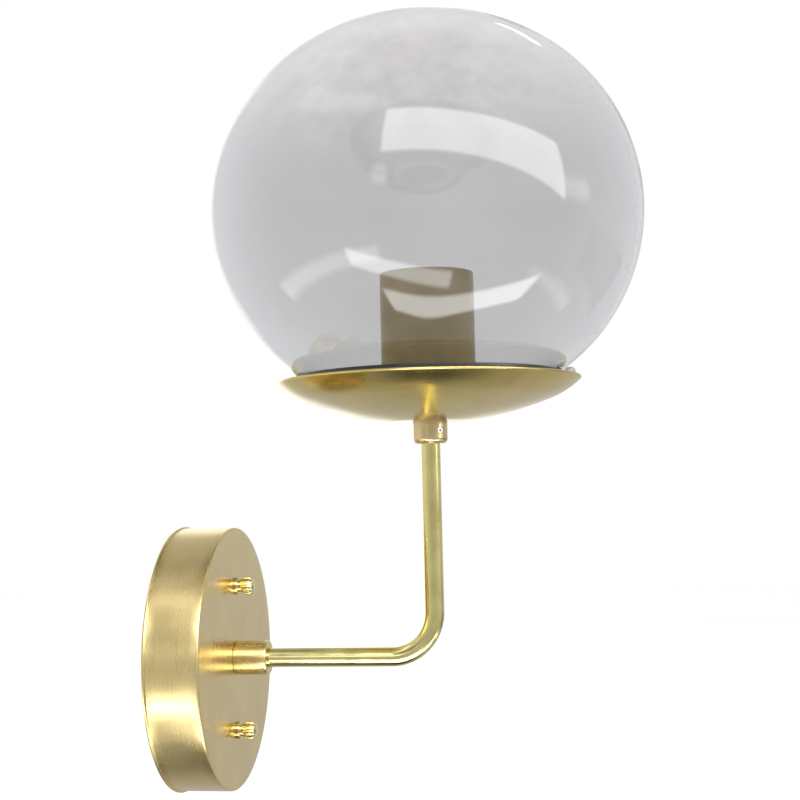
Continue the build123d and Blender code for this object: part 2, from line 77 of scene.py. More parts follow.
def make_mesh(name, points, faces, sharp=35):
    """Mesh object from arrays. The faces are turned round if the enclosed volume comes out
    negative, so that they point outwards, and edges sharper than the angle stay crisp."""
    mesh = bpy.data.meshes.new(name)
    tris = np.concatenate([faces[:, [0, 1, 2]], faces[:, [0, 2, 3]]])
    corner = points[tris]
    volume = np.einsum("ij,ij->i", corner[:, 0], np.cross(corner[:, 1], corner[:, 2])).sum()
    if volume < 0:
        faces = faces[:, ::-1]
    whole = faces[:, 2] != faces[:, 3]
    flat = faces[:, 0] == faces[:, 1]
    quads = faces[whole & ~flat]
    ends = faces[~whole][:, :3]
    starts = faces[flat][:, 1:]
    mesh.from_pydata(points, [], quads.tolist() + ends.tolist() + starts.tolist())
    mesh.update()
    mesh.polygons.foreach_set("use_smooth", np.ones(len(mesh.polygons), bool))
    mesh.set_sharp_from_angle(angle=radians(sharp))
    piece = bpy.data.objects.new(name, mesh)
    bpy.context.scene.collection.objects.link(piece)
    return piece


def turned(name, outline, centre, along, steps, swell=None):
    """Lathe surface: a point of the closed outline (radius, distance) at angle t lies at
    centre + distance * along + radius * (cos t * across + sin t * up). swell(t, outline) may
    return radii that change round the axis, as on a fluted head."""
    along = Vector(along).normalized()
    across = Vector((1, 0, 0)) if abs(along.x) < 0.9 else Vector((0, 0, 1))
    up = np.array(along.cross(across))
    angle = np.arange(steps) / steps * 2 * pi
    radius = np.repeat(outline[:, :1], steps, axis=1)
    if swell is not None:
        radius = swell(angle[None, :], outline)
    ring = np.cos(angle)[:, None] * np.array(across) + np.sin(angle)[:, None] * up
    points = radius[:, :, None] * ring[None] + outline[:, 1, None, None] * np.array(along)
    points = (points + np.array(centre)).reshape(-1, 3)
    rows = len(outline)
    index = np.arange(rows * steps).reshape(rows, steps)
    on_axis = outline[:, 0] < 1e-7
    index[on_axis] = index[on_axis][:, :1]
    below = np.roll(index, -1, axis=0)
    faces = np.stack([index, np.roll(index, -1, 1), np.roll(below, -1, 1), below], 2)
    faces = faces[~(on_axis & np.roll(on_axis, -1))].reshape(-1, 4)
    used, where = np.unique(faces, return_inverse=True)
    return make_mesh(name, points[used], where.reshape(-1, 4))


def add_node(tree, kind, *inputs, **settings):
    """Shader node: positional values fill its inputs in order and named ones by name, where a
    socket is linked and anything else is set. What names no input is a setting of the node."""
    made = tree.nodes.new("ShaderNode" + kind)
    values = list(enumerate(inputs)) + [(k.replace("_", " "), v) for k, v in settings.items()]
    for key, value in values:
        if isinstance(key, str) and key not in made.inputs:
            setattr(made, key.replace(" ", "_"), value)
        elif isinstance(value, bpy.types.NodeSocket):
            tree.links.new(value, made.inputs[key])
        elif value is not None:
            made.inputs[key].default_value = value
    return made


def new_group(name, inputs, outputs):
    """Empty shader node group with float, colour and vector sockets: (name, kind, default)."""
    tree = bpy.data.node_groups.new(name, "ShaderNodeTree")
    for label, kind, default in inputs:
        socket = tree.interface.new_socket(label, in_out="INPUT", socket_type="NodeSocket" + kind)
        if default is not None:
            socket.default_value = default
    for label, kind in outputs:
        tree.interface.new_socket(label, in_out="OUTPUT", socket_type="NodeSocket" + kind)
    return tree, tree.nodes.new("NodeGroupInput"), tree.nodes.new("NodeGroupOutput")


def place_group(tree, group, **inputs):
    """Puts a node group into a tree and fills its inputs by name."""
    made = tree.nodes.new("ShaderNodeGroup")
    made.node_tree = group
    for key, value in inputs.items():
        key = key.replace("_", " ")
        if isinstance(value, bpy.types.NodeSocket):
            tree.links.new(value, made.inputs[key])
        else:
            made.inputs[key].default_value = value
    return made


def turning_marks_group():
    """Fine rings left by a lathe or a brushing wheel, and the slow blotches of a hand-rubbed
    lacquer. Vector has the axis along its Z; the rings are noise over radius and height that
    hardly changes round the axis, and the blotches are two sizes of plain noise."""
    tree, source, result = new_group(
        "turning marks",
        [("Vector", "Vector", None), ("Ring density", "Float", 2500.0), ("Blotch size", "Float", 60.0)],
        [("Rings", "Float"), ("Blotches", "Float"), ("Specks", "Float")],
    )
    place = source.outputs["Vector"]
    parts = add_node(tree, "SeparateXYZ", place)
    flat = add_node(tree, "CombineXYZ", parts.outputs[0], parts.outputs[1], 0.0)
    radius = add_node(tree, "VectorMath", flat.outputs[0], operation="LENGTH").outputs["Value"]
    angle = add_node(tree, "Math", parts.outputs[1], parts.outputs[0], operation="ARCTAN2").outputs[0]
    slow = add_node(tree, "Math", angle, 0.00035, operation="MULTIPLY").outputs[0]
    lathe = add_node(tree, "CombineXYZ", radius, parts.outputs[2], slow)
    rings = add_node(
        tree, "TexNoise", Vector=lathe.outputs[0], Scale=source.outputs["Ring density"], Detail=3.0,
        Roughness=0.65,
    )
    wide = add_node(
        tree, "TexNoise", Vector=place, Scale=source.outputs["Blotch size"], Detail=2.5, Roughness=0.5
    )
    fine = add_node(tree, "TexNoise", Vector=place, Scale=900.0, Detail=2.0, Roughness=0.7)
    specks = add_node(
        tree, "MapRange", Value=fine.outputs["Fac"], From_Min=0.66, From_Max=0.78, To_Min=0.0, To_Max=1.0
    )
    tree.links.new(rings.outputs["Fac"], result.inputs["Rings"])
    tree.links.new(wide.outputs["Fac"], result.inputs["Blotches"])
    tree.links.new(specks.outputs[0], result.inputs["Specks"])
    return tree


turning_marks = turning_marks_group()


def plain_material(name, **sockets):
    """Material with a Principled shader whose uniform sockets are set by name."""
    material = bpy.data.materials.new(name)
    material.use_nodes = True
    shader = material.node_tree.nodes["Principled BSDF"]
    for key, value in sockets.items():
        shader.inputs[key.replace("_", " ")].default_value = value
    return material, material.node_tree, shader


def lathe_place(tree, centre, turn):
    """Object coordinates centred on a lathe axis and turned so that the axis is Z."""
    place = add_node(tree, "TexCoord").outputs["Object"]
    moved = add_node(tree, "VectorMath", place, tuple(centre), operation="SUBTRACT").outputs[0]
    return add_node(tree, "Mapping", Vector=moved, Rotation=tuple(turn)).outputs[0]


def brass(name, centre, turn, deep, light, rough, ring_density, ring_depth, blotch):
    """Brushed or polished brass: the colour runs from deep to light with the blotches and a
    little with the rings, the roughness follows both, and the rings stand up in the bump."""
    ring_share = 0.25
    low_share, high_share = 0.35, 0.9
    speck_share = 0.35
    speck_shade = 0.45
    ring_height = 0.00003
    material, tree, shader = plain_material(name, Metallic=1.0)
    place = lathe_place(tree, centre, turn)
    marks = place_group(
        tree, turning_marks, Vector=place, Ring_density=ring_density, Blotch_size=blotch
    )
    share = add_node(
        tree, "Math", marks.outputs["Rings"], ring_share, marks.outputs["Blotches"],
        operation="MULTIPLY_ADD",
    ).outputs[0]
    spread = add_node(tree, "MapRange", Value=share, From_Min=low_share, From_Max=high_share).outputs[0]
    colour = add_node(tree, "MixRGB", spread, (*deep, 1), (*light, 1))
    dirt = add_node(tree, "Math", marks.outputs["Specks"], speck_share, operation="MULTIPLY").outputs[0]
    speck_colour = tuple(speck_shade * c for c in deep) + (1,)
    tint = add_node(tree, "MixRGB", dirt, colour.outputs[0], speck_colour)
    tree.links.new(tint.outputs[0], shader.inputs["Base Color"])
    gloss = add_node(
        tree, "MapRange", Value=share, From_Min=low_share, From_Max=high_share,
        To_Min=rough[0], To_Max=rough[1],
    )
    tree.links.new(gloss.outputs[0], shader.inputs["Roughness"])
    bump = add_node(
        tree, "Bump", Strength=ring_depth, Distance=ring_height, Height=marks.outputs["Rings"]
    )
    tree.links.new(bump.outputs[0], shader.inputs["Normal"])
    return material


def dress(piece, body, node, material):
    """Gives a finished piece its material in a new slot and its body, and hides the CAD node that it
    stands in for.
    """
    piece.data.materials.append(material)
    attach(piece, body)
    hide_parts(node)
    return piece


out_of_wall = (0, -1, 0)
wall_axis_turn = (radians(90), 0, 0)
plate_radius = 0.060
plate_depth = 0.025
plate_wall = 0.0012
bead_radius = 0.0608
bead_width = 0.0013
plate_hole = 0.0052
plate_outline = rounded(
    [
        (plate_hole, plate_depth, 0),
        (plate_radius, plate_depth, 0.0009),
        (plate_radius, bead_width, 0.0002),
        (bead_radius, bead_width, 0.0005),
        (bead_radius, 0, 0.0005),
        (plate_radius - plate_wall, 0, 0.0001),
        (plate_radius - plate_wall, plate_depth - plate_wall, 0.0006),
        (plate_hole, plate_depth - plate_wall, 0),
    ]
)
plate = turned("wall_plate", plate_outline, (0, 0, 0), out_of_wall, 256)
plate_brass = brass(
    "satin brass plate", (0, 0, 0), wall_axis_turn, (0.60, 0.45, 0.20), (0.72, 0.58, 0.27),
    rough=(0.22, 0.32), ring_density=1500.0, ring_depth=0.07, blotch=45.0,
)
dress(plate, "wall_bracket", "backplate", plate_brass)


# ---- Crossbar, studs and their nuts ----------------------------------------------------------
# Zinc plated steel behind the plate: a stamped strap for the junction box, two threaded studs
# and hexagon lock nuts. The green screw earths the strap.
def plated_steel(name, colour, rough=0.34):
    """Zinc plating: crystal patches from Voronoi cells and a fine grain in colour and bump."""
    material, tree, shader = plain_material(name, Metallic=1.0)
    place = add_node(tree, "TexCoord").outputs["Object"]
    cells = add_node(tree, "TexVoronoi", Vector=place, Scale=420.0)
    grain = add_node(tree, "TexNoise", Vector=place, Scale=1600.0, Detail=3.0)
    shade = add_node(tree, "MapRange", Value=cells.outputs["Distance"], To_Min=0.82, To_Max=1.05)
    tint = add_node(tree, "VectorMath", tuple(colour), shade.outputs[0], operation="MULTIPLY")
    tree.links.new(tint.outputs[0], shader.inputs["Base Color"])
    gloss = add_node(
        tree, "MapRange", Value=grain.outputs["Fac"], To_Min=rough - 0.1, To_Max=rough + 0.12
    )
    tree.links.new(gloss.outputs[0], shader.inputs["Roughness"])
    bump = add_node(tree, "Bump", Strength=0.3, Distance=0.00003, Height=grain.outputs["Fac"])
    tree.links.new(bump.outputs[0], shader.inputs["Normal"])
    return material


def repaint(material, *nodes):
    """Gives CAD nodes their finished material."""
    for name in nodes:
        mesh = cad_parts[name].data
        mesh.materials.clear()
        mesh.materials.append(material)


zinc = plated_steel("zinc plate", (0.60, 0.60, 0.57))
repaint(
    zinc, "crossbar", "stud_locknuts", "nipple_locknut", "lock_washer",
    "lampholder_strap", "strap_screws", "socket_locknut",
)


def threaded_steel(name, centre, turn, pitch):
    """Zinc plated rod with a rolled thread: a helical wave of the pitch in the bump, and painted shade
    that darkens the colour along the thread's grooves.
    """
    material, tree, shader = plain_material(name, Metallic=1.0, Roughness=0.36)
    place = lathe_place(tree, centre, turn)
    parts = add_node(tree, "SeparateXYZ", place)
    angle = add_node(tree, "Math", parts.outputs[1], parts.outputs[0], operation="ARCTAN2").outputs[0]
    turns = add_node(tree, "Math", parts.outputs[2], 2 * pi / pitch, operation="MULTIPLY").outputs[0]
    phase = add_node(tree, "Math", turns, angle, operation="SUBTRACT").outputs[0]
    wave = add_node(tree, "Math", phase, operation="SINE").outputs[0]
    grain = add_node(tree, "TexNoise", Vector=place, Scale=1500.0, Detail=2.0)
    # Painted shade: the colour darkens to 0.62 of itself in the thread's grooves, where the wave is low.
    shade = add_node(tree, "MapRange", Value=wave, From_Min=-1.0, From_Max=1.0, To_Min=0.62, To_Max=1.0)
    soft = add_node(tree, "Math", shade.outputs[0], grain.outputs["Fac"], 0.1, operation="MULTIPLY_ADD")
    tint = add_node(tree, "VectorMath", (0.60, 0.59, 0.55), soft.outputs[0], operation="MULTIPLY")
    tree.links.new(tint.outputs[0], shader.inputs["Base Color"])
    bump = add_node(tree, "Bump", Strength=0.8, Distance=0.0002, Height=wave)
    tree.links.new(bump.outputs[0], shader.inputs["Normal"])
    return material


reach = 0.118
head_centre = (0, -reach, 0)
stud_height = 0.033
repaint(threaded_steel("stud thread", (0, 0, stud_height), wall_axis_turn, 0.0007), "mounting_studs")
repaint(threaded_steel("arm nipple thread", (0, 0, 0), wall_axis_turn, 0.001), "arm_nipple")
repaint(threaded_steel("socket nipple thread", head_centre, (0, 0, 0), 0.001), "socket_nipple")

green_lacquer, green_tree, green_shader = plain_material("green lacquer", Metallic=0.7)
green_grain = add_node(green_tree, "TexNoise", Scale=700.0, Detail=3.0)
green_place = add_node(green_tree, "TexCoord").outputs["Object"]
green_tree.links.new(green_place, green_grain.inputs["Vector"])
green_colour = add_node(
    green_tree, "MixRGB", green_grain.outputs["Fac"], (0.02, 0.16, 0.05, 1), (0.06, 0.34, 0.13, 1)
)
green_tree.links.new(green_colour.outputs[0], green_shader.inputs["Base Color"])
green_gloss = add_node(green_tree, "MapRange", Value=green_grain.outputs["Fac"], To_Min=0.25, To_Max=0.45)
green_tree.links.new(green_gloss.outputs[0], green_shader.inputs["Roughness"])
repaint(green_lacquer, "ground_screw")


# ---- Cap nuts --------------------------------------------------------------------------------
# Solid brass nuts turned on a lathe and polished: a flange on the plate, a neck, and a fluted
# head with a domed end. They clamp the plate onto the studs.
cap_flange = 0.0040
cap_neck = 0.0029
cap_bore = 0.00205
cap_bore_depth = 0.0065
cap_stations = (0.0015, 0.0028, 0.0048, 0.0062, 0.0088)
flute_count = 12
flute_depth = 0.00035


def cap_nut_outline():
    """Section of a cap nut: bore, flange, neck, flared head and a domed end on the axis."""
    flange_end, neck_end, flare_end, head_end, dome_end = cap_stations
    turn = np.linspace(0, pi / 2, 14)[1:]
    height = dome_end - head_end
    dome = np.stack([cap_flange * np.cos(turn) ** 0.8, head_end + height * np.sin(turn)], 1)
    dome[-1] = (0, dome_end)
    side = rounded(
        [
            (cap_bore, 0, 0.0001),
            (cap_flange, 0, 0.00025),
            (cap_flange, flange_end, 0.00035),
            (cap_neck, flange_end, 0.0003),
            (cap_neck, neck_end, 0.0003),
            (cap_flange, flare_end, 0.0004),
            (cap_flange, head_end, 0),
            (cap_bore, head_end, 0),
        ],
        longest=0.0008,
    )
    last = np.argmin(np.abs(side[:, 0] - cap_flange) + np.abs(side[:, 1] - head_end))
    bore = [(0, cap_bore_depth), (cap_bore, cap_bore_depth), (cap_bore, cap_bore_depth / 2)]
    return np.concatenate([side[: last + 1], dome, bore])


def flutes(angle, outline):
    """Radii of the head pressed in by rounded grooves that fade out at the neck and the dome."""
    start, end = cap_stations[1], cap_stations[4]
    along = np.clip((outline[:, 1] - start) / (end - start), 0, 1)
    outside = outline[:, 0] > cap_neck
    depth = flute_depth * np.sin(pi * along) ** 0.5 * outside
    groove = np.clip(np.cos(angle * flute_count), 0, 1) ** 0.7
    return outline[:, :1] - depth[:, None] * groove


cap_outline = cap_nut_outline()
nut_brass = brass(
    "polished brass nuts", (0, 0, 0), wall_axis_turn, (0.58, 0.48, 0.20), (0.78, 0.67, 0.35),
    rough=(0.08, 0.16), ring_density=3000.0, ring_depth=0.05, blotch=160.0,
)
for side, body in ((1, "upper_nut"), (-1, "lower_nut")):
    node_name = "upper_cap_nut" if side > 0 else "lower_cap_nut"
    nut_name = node_name.replace("cap", "brass")
    nut_place = (0, -plate_depth, side * stud_height)
    nut = turned(nut_name, cap_outline, nut_place, out_of_wall, 144, flutes)
    dress(nut, body, node_name, nut_brass)


# ---- Arm collar, tube and bushing ------------------------------------------------------------
# The arm is drawn brass tube with one bend, soldered into a short turned collar that screws onto
# the plate's nipple. A plastic bushing keeps the wires off the nipple's edge.
arm_collar_radius = 0.00775
arm_collar_end = 0.0405
arm_collar_bore = 0.00505
nipple_seat = 0.0315
wire_way = 0.0032
tube_start = 0.0324
tube_radius = 0.0044
tube_wall = 0.0009
tube_seat_radius = tube_radius + 0.00005
arm_collar_outline = rounded(
    [
        (arm_collar_bore, plate_depth, 0.0002),
        (arm_collar_radius, plate_depth, 0.0004),
        (arm_collar_radius, arm_collar_end, 0.0007),
        (tube_seat_radius, arm_collar_end, 0.0002),
        (tube_seat_radius, tube_start, 0),
        (wire_way, tube_start, 0),
        (wire_way, nipple_seat, 0),
        (arm_collar_bore, nipple_seat, 0),
    ],
    longest=0.002,
)
collar_brass = brass(
    "satin brass collars", (0, 0, 0), wall_axis_turn, (0.66, 0.52, 0.24), (0.78, 0.65, 0.33),
    rough=(0.22, 0.32), ring_density=1500.0, ring_depth=0.08, blotch=120.0,
)
arm_collar = turned("arm_collar_turned", arm_collar_outline, (0, 0, 0), out_of_wall, 128)
dress(arm_collar, "wall_bracket", "arm_collar", collar_brass)

tube_top = 0.1039
bend_radius = 0.020


def arm_path(count):
    """Points and directions along the tube's middle line: straight out of the wall, a quarter
    circle and straight up, evenly spaced by length in each stretch."""
    out = reach - bend_radius - tube_start
    curve = bend_radius * pi / 2
    rise = tube_top - bend_radius
    travel = np.concatenate([
        np.linspace(0, out, count // 4, endpoint=False),
        out + np.linspace(0, curve, count // 2, endpoint=False),
        out + curve + np.linspace(0, rise, count // 4 + 1),
    ])
    turn = np.clip((travel - out) / bend_radius, 0, pi / 2)
    straight = np.minimum(travel, out)
    up = np.maximum(travel - out - curve, 0)
    y = -(tube_start + straight + bend_radius * np.sin(turn))
    z = bend_radius * (1 - np.cos(turn)) + up
    middle = np.stack([np.zeros_like(y), y, z], 1)
    heading = np.stack([np.zeros_like(y), -np.cos(turn), np.sin(turn)], 1)
    return middle, heading


def bent_tube(name, path_points=96, steps=64):
    """Tube carried along the arm's path: at each station the outer and the inner circle lie in
    the plane across the path, and the end rings join them."""
    middle, heading = arm_path(path_points)
    angle = np.arange(steps) / steps * 2 * pi
    sideways = np.array([1.0, 0, 0])
    other = np.cross(heading, sideways)
    circle = np.cos(angle)[None, :, None] * sideways + np.sin(angle)[None, :, None] * other[:, None]
    outer = middle[:, None] + tube_radius * circle
    inner = middle[:, None] + (tube_radius - tube_wall) * circle
    grid = np.concatenate([outer, inner[::-1]])
    rows = len(grid)
    index = np.arange(rows * steps).reshape(rows, steps)
    below = np.roll(index, -1, axis=0)
    faces = np.stack([index, np.roll(index, -1, 1), np.roll(below, -1, 1), below], 2).reshape(-1, 4)
    return make_mesh(name, grid.reshape(-1, 3), faces)


tube_brass, tube_tree, tube_shader = plain_material("polished brass tube", Metallic=1.0)
tube_place = add_node(tube_tree, "TexCoord").outputs["Object"]
tube_blotch = add_node(tube_tree, "TexNoise", Vector=tube_place, Scale=95.0, Detail=3.0, Roughness=0.6)
tube_fine = add_node(tube_tree, "TexNoise", Vector=tube_place, Scale=900.0, Detail=2.0)
tube_colour = add_node(
    tube_tree, "MixRGB", tube_blotch.outputs["Fac"], (0.52, 0.44, 0.16, 1), (0.80, 0.72, 0.33, 1)
)
tube_tree.links.new(tube_colour.outputs[0], tube_shader.inputs["Base Color"])
tube_gloss = add_node(
    tube_tree, "MapRange", Value=tube_blotch.outputs["Fac"], From_Min=0.3, From_Max=0.7, To_Min=0.1,
    To_Max=0.2,
)
tube_tree.links.new(tube_gloss.outputs[0], tube_shader.inputs["Roughness"])
tube_bump = add_node(tube_tree, "Bump", Strength=0.12, Distance=0.00003, Height=tube_fine.outputs["Fac"])
tube_tree.links.new(tube_bump.outputs[0], tube_shader.inputs["Normal"])
dress(bent_tube("bent_arm_tube"), "wall_bracket", "arm_tube", tube_brass)

moulded, moulded_tree, moulded_shader = plain_material("moulded plastic")
moulded_place = add_node(moulded_tree, "TexCoord").outputs["Object"]
moulded_grain = add_node(moulded_tree, "TexNoise", Vector=moulded_place, Scale=1800.0, Detail=2.0)
moulded_colour = add_node(
    moulded_tree, "MixRGB", moulded_grain.outputs["Fac"], (0.012, 0.012, 0.013, 1), (0.03, 0.03, 0.032, 1)
)
moulded_tree.links.new(moulded_colour.outputs[0], moulded_shader.inputs["Base Color"])
moulded_gloss = add_node(
    moulded_tree, "MapRange", Value=moulded_grain.outputs["Fac"], To_Min=0.35, To_Max=0.6
)
moulded_tree.links.new(moulded_gloss.outputs[0], moulded_shader.inputs["Roughness"])
repaint(moulded, "nipple_bushing")


# ---- Holder collar and set screw -------------------------------------------------------------
# A turned brass collar that slips over the end of the arm. Its foot is rounded, and a small
# headless screw in its side stops the lamp head from turning.
dish_foot = 0.1063
upright = (0, 0, 1)
holder_brass = brass(
    "satin brass holder", head_centre, (0, 0, 0), (0.54, 0.41, 0.20), (0.66, 0.53, 0.28),
    rough=(0.2, 0.3), ring_density=1500.0, ring_depth=0.08, blotch=120.0,
)
repaint(holder_brass, "holder_collar")
bright_nickel = plated_steel("bright nickel", (0.78, 0.76, 0.72), rough=0.2)
repaint(bright_nickel, "set_screw")


# ---- Dish ------------------------------------------------------------------------------------
# The dish is spun from brass sheet: a flat foot on the collar, a shallow cone and an upturned
# edge with a rounded rim. It carries the glass.
dish_wall = 0.0012
dish_foot_radius = 0.018
dish_turn = (0.056, 0.0097)
dish_rim = (0.0692, 0.0179)
cone_sag = 0.0011
dish_hole = 0.0052


def arc_between(start, end, sag, count):
    """Points on the circle through start and end that bulges by sag to the right of the chord."""
    start, end = np.array(start, float), np.array(end, float)
    chord = end - start
    length = np.linalg.norm(chord)
    radius = (length**2 / 4 + sag**2) / (2 * sag)
    right = np.array([chord[1], -chord[0]]) / length
    middle = (start + end) / 2 + right * (sag - radius)
    half = np.arcsin(length / 2 / radius)
    spread = np.linspace(-half, half, count)
    along = chord / length
    return middle + radius * (np.cos(spread)[:, None] * right + np.sin(spread)[:, None] * along)


def dish_outline():
    """Closed section of the dish: the underside, a half round rim, and the upper side, which is
    the underside moved inwards along its own normal by the wall."""
    cone = arc_between((dish_foot_radius, 0), dish_turn, cone_sag, 40)
    chord = np.array(dish_turn) - (dish_foot_radius, 0)
    end_slope = np.arctan2(chord[1], chord[0]) + 2 * np.arctan(2 * cone_sag / np.linalg.norm(chord))
    edge = np.array(dish_rim) - dish_turn
    turn = np.arctan2(edge[1], edge[0]) - end_slope
    edge_sag = np.linalg.norm(edge) / 2 * np.tan(turn / 2)
    lip = arc_between(dish_turn, dish_rim, edge_sag, 30)
    under = np.concatenate([[(dish_hole, 0)], cone, lip[1:]])
    slope = np.gradient(under, axis=0)
    slope[0] = (1, 0)
    slope /= np.linalg.norm(slope, axis=1)[:, None]
    normal = np.stack([-slope[:, 1], slope[:, 0]], 1)
    over = under + dish_wall * normal
    rim_turn = np.linspace(0, pi, 10)[1:-1]
    rim_middle = (under[-1] + over[-1]) / 2
    rim = (
        rim_middle
        - np.cos(rim_turn)[:, None] * normal[-1] * dish_wall / 2
        + np.sin(rim_turn)[:, None] * slope[-1] * dish_wall / 2
    )
    return np.concatenate([under, rim, over[::-1]])


dish = turned(
    "spun_dish", dish_outline(), Vector(head_centre) + Vector((0, 0, dish_foot)), upright, 256
)
dish_brass = brass(
    "satin brass dish", head_centre, (0, 0, 0), (0.50, 0.385, 0.13), (0.64, 0.51, 0.19),
    rough=(0.16, 0.28), ring_density=2600.0, ring_depth=0.22, blotch=50.0,
)
dress(dish, "lamp_head", "dish", dish_brass)


# ---- Socket cover and spacer -----------------------------------------------------------------
# A drawn brass cup, chemically darkened, that hides the porcelain lampholder. It stands on a
# plain brass spacer in the middle of the dish.
cover_radius = 0.0215
cover_base = 0.1105
cover_top = 0.1743
cover_wall = 0.0008
cover_outline = rounded(
    [
        (dish_hole, cover_base, 0),
        (cover_radius, cover_base, 0.0015),
        (cover_radius, cover_top, 0.00035),
        (cover_radius - cover_wall, cover_top, 0.00035),
        (cover_radius - cover_wall, cover_base + cover_wall, 0.0007),
        (dish_hole, cover_base + cover_wall, 0),
    ]
)
cover = turned("socket_cup", cover_outline, head_centre, upright, 160)
bronzed = brass(
    "darkened brass", head_centre, (0, 0, 0), (0.30, 0.235, 0.115), (0.42, 0.34, 0.185),
    rough=(0.28, 0.42), ring_density=1800.0, ring_depth=0.2, blotch=70.0,
)
dress(cover, "lamp_head", "socket_cover", bronzed)
repaint(bronzed, "dish_spacer")


# ---- Lampholder ------------------------------------------------------------------------------
# Glazed porcelain with a nickel plated screw shell for the lamp's cap, a springy centre contact
# and a wire terminal on each side.
porcelain, porcelain_tree, porcelain_shader = plain_material(
    "glazed porcelain", Roughness=0.16, Coat_Weight=0.4, Coat_Roughness=0.05
)
porcelain_place = add_node(porcelain_tree, "TexCoord").outputs["Object"]
porcelain_cloud = add_node(porcelain_tree, "TexNoise", Vector=porcelain_place, Scale=120.0, Detail=3.0)
porcelain_colour = add_node(
    porcelain_tree, "MixRGB", porcelain_cloud.outputs["Fac"], (0.74, 0.71, 0.64, 1), (0.84, 0.82, 0.77, 1)
)
porcelain_tree.links.new(porcelain_colour.outputs[0], porcelain_shader.inputs["Base Color"])
porcelain_bump = add_node(
    porcelain_tree, "Bump", Strength=0.15, Distance=0.0002, Height=porcelain_cloud.outputs["Fac"]
)
porcelain_tree.links.new(porcelain_bump.outputs[0], porcelain_shader.inputs["Normal"])
repaint(porcelain, "lampholder_body")

shell_base = 0.1381
shell_top = 0.1681
thread_pitch = 0.00363
thread_mean = 0.01345
thread_depth = 0.0002
shell_wall = 0.0004


def rolled_shell(name, rows=150, steps=144):
    """Thin shell with a rolled round thread: its radius is the mean plus a sine of height over
    pitch less the angle, and the thread fades out at both ends. The outer face is the inner one
    moved out by the wall."""
    height = np.linspace(shell_base, shell_top, rows)
    angle = np.arange(steps) / steps * 2 * pi
    ends = np.minimum(height - shell_base, shell_top - height)[:, None]
    fade = np.clip(ends / thread_pitch, 0, 1)
    wave = np.sin(2 * pi * height[:, None] / thread_pitch - angle[None])
    inner = thread_mean + thread_depth * fade * wave
    sheets = []
    for radius in (inner, (inner + shell_wall)[::-1]):
        level = height if radius is inner else height[::-1]
        sheets.append(np.stack([
            radius * np.cos(angle),
            radius * np.sin(angle) + head_centre[1],
            np.repeat(level[:, None], steps, axis=1),
        ], 2))
    grid = np.concatenate(sheets)
    index = np.arange(len(grid) * steps).reshape(len(grid), steps)
    below = np.roll(index, -1, axis=0)
    faces = np.stack([index, np.roll(index, -1, 1), np.roll(below, -1, 1), below], 2).reshape(-1, 4)
    return make_mesh(name, grid.reshape(-1, 3), faces)


nickel = plated_steel("nickel plate", (0.66, 0.62, 0.54), rough=0.24)
dress(rolled_shell("threaded_shell"), "lamp_head", "screw_shell", nickel)
stamped = brass(
    "stamped brass", head_centre, (0, 0, 0), (0.55, 0.40, 0.14), (0.72, 0.56, 0.25),
    rough=(0.2, 0.3), ring_density=1500.0, ring_depth=0.1, blotch=200.0,
)
repaint(stamped, "centre_contact", "terminal_screws")


# ---- Rubber seat and pad ---------------------------------------------------------------------
# The glass stands in the rebate of a moulded black rubber ring that lies in the dish. A small
# clear silicone pad stands on the dish beside it.
glass_base = 0.1265
seat_floor = 0.1263
seat_top = 0.1275
seat_bore = 0.05366
rebate_radius = 0.06034
seat_radius = 0.06094
dish_inside = dish_outline()
dish_inside = dish_inside[len(dish_inside) // 2 :][::-1]
dish_height = np.interp([seat_bore, seat_radius], dish_inside[:, 0], dish_inside[:, 1]) + dish_foot
seat_outline = rounded(
    [
        (seat_bore, dish_height[0], 0.0003),
        (seat_radius, dish_height[1], 0.0003),
        (seat_radius, seat_top, 0.00025),
        (rebate_radius, seat_top, 0.0002),
        (rebate_radius, seat_floor, 0),
        (seat_bore, seat_floor, 0.0004),
    ],
    longest=0.0015,
)
seat = turned("rubber_seat", seat_outline, head_centre, upright, 256)
rubber, rubber_tree, rubber_shader = plain_material("black rubber")
rubber_place = add_node(rubber_tree, "TexCoord").outputs["Object"]
rubber_grain = add_node(rubber_tree, "TexNoise", Vector=rubber_place, Scale=1400.0, Detail=4.0)
rubber_dust = add_node(rubber_tree, "TexNoise", Vector=rubber_place, Scale=90.0, Detail=3.0)
rubber_colour = add_node(
    rubber_tree, "MixRGB", rubber_dust.outputs["Fac"], (0.010, 0.009, 0.008, 1), (0.024, 0.021, 0.018, 1)
)
rubber_tree.links.new(rubber_colour.outputs[0], rubber_shader.inputs["Base Color"])
rubber_gloss = add_node(
    rubber_tree, "MapRange", Value=rubber_grain.outputs["Fac"], To_Min=0.22, To_Max=0.4
)
rubber_tree.links.new(rubber_gloss.outputs[0], rubber_shader.inputs["Roughness"])
rubber_bump = add_node(
    rubber_tree, "Bump", Strength=0.3, Distance=0.00005, Height=rubber_grain.outputs["Fac"]
)
rubber_tree.links.new(rubber_bump.outputs[0], rubber_shader.inputs["Normal"])
dress(seat, "lamp_head", "seat_ring", rubber)

silicone, silicone_tree, silicone_shader = plain_material(
    "clear silicone", Transmission_Weight=0.35, IOR=1.41
)
silicone_place = add_node(silicone_tree, "TexCoord").outputs["Object"]
silicone_cloud = add_node(silicone_tree, "TexNoise", Vector=silicone_place, Scale=500.0, Detail=2.0)
silicone_colour = add_node(
    silicone_tree, "MixRGB", silicone_cloud.outputs["Fac"], (0.52, 0.50, 0.46, 1), (0.68, 0.66, 0.61, 1)
)
silicone_tree.links.new(silicone_colour.outputs[0], silicone_shader.inputs["Base Color"])
silicone_gloss = add_node(
    silicone_tree, "MapRange", Value=silicone_cloud.outputs["Fac"], To_Min=0.12, To_Max=0.3
)
silicone_tree.links.new(silicone_gloss.outputs[0], silicone_shader.inputs["Roughness"])
repaint(silicone, "bumper_pad")


